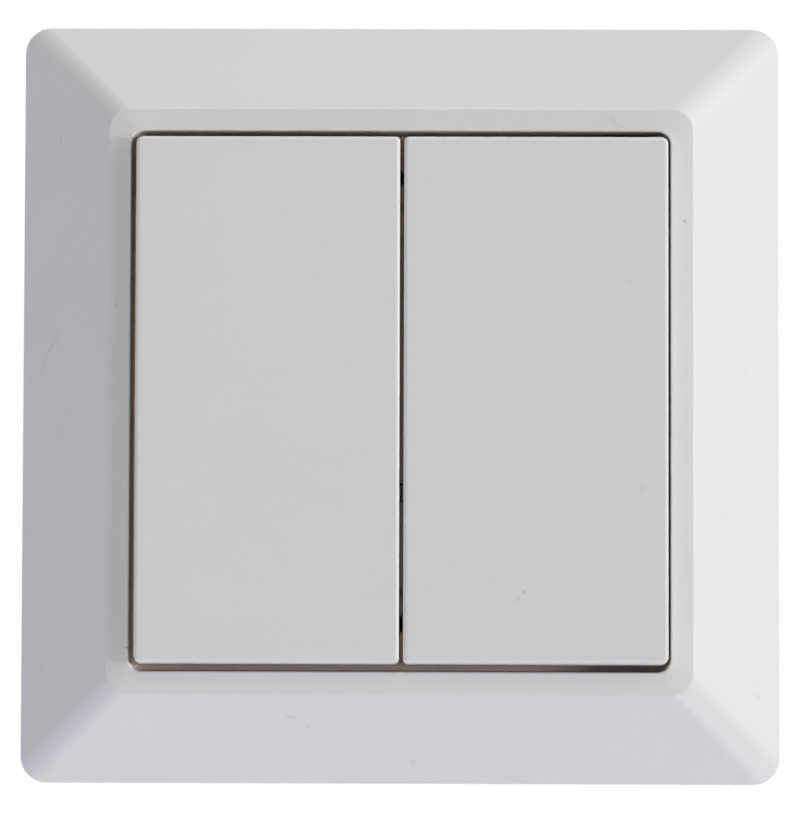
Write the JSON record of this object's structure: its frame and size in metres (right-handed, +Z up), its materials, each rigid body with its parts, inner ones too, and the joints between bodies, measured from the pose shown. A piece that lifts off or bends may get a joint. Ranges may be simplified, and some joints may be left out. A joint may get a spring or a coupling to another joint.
{
  "type": "wireless remote wall switch",
  "caption": "Square wireless light switch for the wall: bevelled frame clamped on a screw-on plate, coin-cell transmitter inside, and rockers side by side that tilt to press its switches.",
  "frame": {"origin": "centre of the wall plate's back, on the wall plane, midway between the wall screws", "axes": "+Z up the wall, +X to the right as seen from the room, +Y into the wall, so the rockers face -Y"},
  "size_m": [0.08, 0.013, 0.08],
  "materials": {
    "white_plastic": "satin white moulding",
    "support_plastic": "matt warm grey moulding",
    "case_plastic": "matt warm grey moulding",
    "board_laminate": "green solder mask",
    "black_plastic": "matt black moulding",
    "plunger_plastic": "matt dark moulding",
    "nickel_steel": "nickel-plated steel",
    "spring_metal": "plated spring strip",
    "lamp_plastic": "clear yellowish resin",
    "copper_wire": "enamelled copper",
    "screw_steel": "zinc-plated steel"
  },
  "bodies": {
    "base": {"wall_plate": "support_plastic", "outer_frame": "white_plastic", "clamp_ring": "support_plastic", "module_case": "case_plastic", "module_cover": "case_plastic", "circuit_board": "board_laminate", "cell_holder": "black_plastic", "coin_cell": "nickel_steel", "cell_contact_positive": "spring_metal", "cell_contact_negative": "spring_metal", "switch_body_upper_left": "black_plastic", "switch_body_lower_left": "black_plastic", "switch_body_upper_right": "black_plastic", "switch_body_lower_right": "black_plastic", "radio_chip": "black_plastic", "crystal": "nickel_steel", "status_led": "lamp_plastic", "antenna_wire": "copper_wire", "case_screws": "screw_steel"},
    "left_rocker": {"left_rocker": "white_plastic"},
    "right_rocker": {"right_rocker": "white_plastic"},
    "upper_left_plunger": {"switch_plunger_upper_left": "plunger_plastic"},
    "lower_left_plunger": {"switch_plunger_lower_left": "plunger_plastic"},
    "upper_right_plunger": {"switch_plunger_upper_right": "plunger_plastic"},
    "lower_right_plunger": {"switch_plunger_lower_right": "plunger_plastic"}
  },
  "joints": [
    {"name": "left_rocker_tilt", "type": "hinge", "parent": "base", "child": "left_rocker", "pos_m": [-0.0124, -0.008, 0], "axis": [1, 0, 0], "range_deg": [-2, 2], "stiffness_Nm_per_rad": 0.6},
    {"name": "right_rocker_tilt", "type": "hinge", "parent": "base", "child": "right_rocker", "pos_m": [0.0124, -0.008, 0], "axis": [1, 0, 0], "range_deg": [-2, 2], "stiffness_Nm_per_rad": 0.6},
    {"name": "upper_left_press", "type": "slide", "parent": "base", "child": "upper_left_plunger", "axis": [0, 1, 0], "range_m": [-0.00053, 0.00053]},
    {"name": "lower_left_press", "type": "slide", "parent": "base", "child": "lower_left_plunger", "axis": [0, 1, 0], "range_m": [-0.00053, 0.00053]},
    {"name": "upper_right_press", "type": "slide", "parent": "base", "child": "upper_right_plunger", "axis": [0, 1, 0], "range_m": [-0.00053, 0.00053]},
    {"name": "lower_right_press", "type": "slide", "parent": "base", "child": "lower_right_plunger", "axis": [0, 1, 0], "range_m": [-0.00053, 0.00053]}
  ],
  "couplings": [
    {"joint": "upper_left_press", "follows": "left_rocker_tilt", "m_per_rad": -0.015},
    {"joint": "lower_left_press", "follows": "left_rocker_tilt", "m_per_rad": 0.015},
    {"joint": "upper_right_press", "follows": "right_rocker_tilt", "m_per_rad": -0.015},
    {"joint": "lower_right_press", "follows": "right_rocker_tilt", "m_per_rad": 0.015}
  ]
}
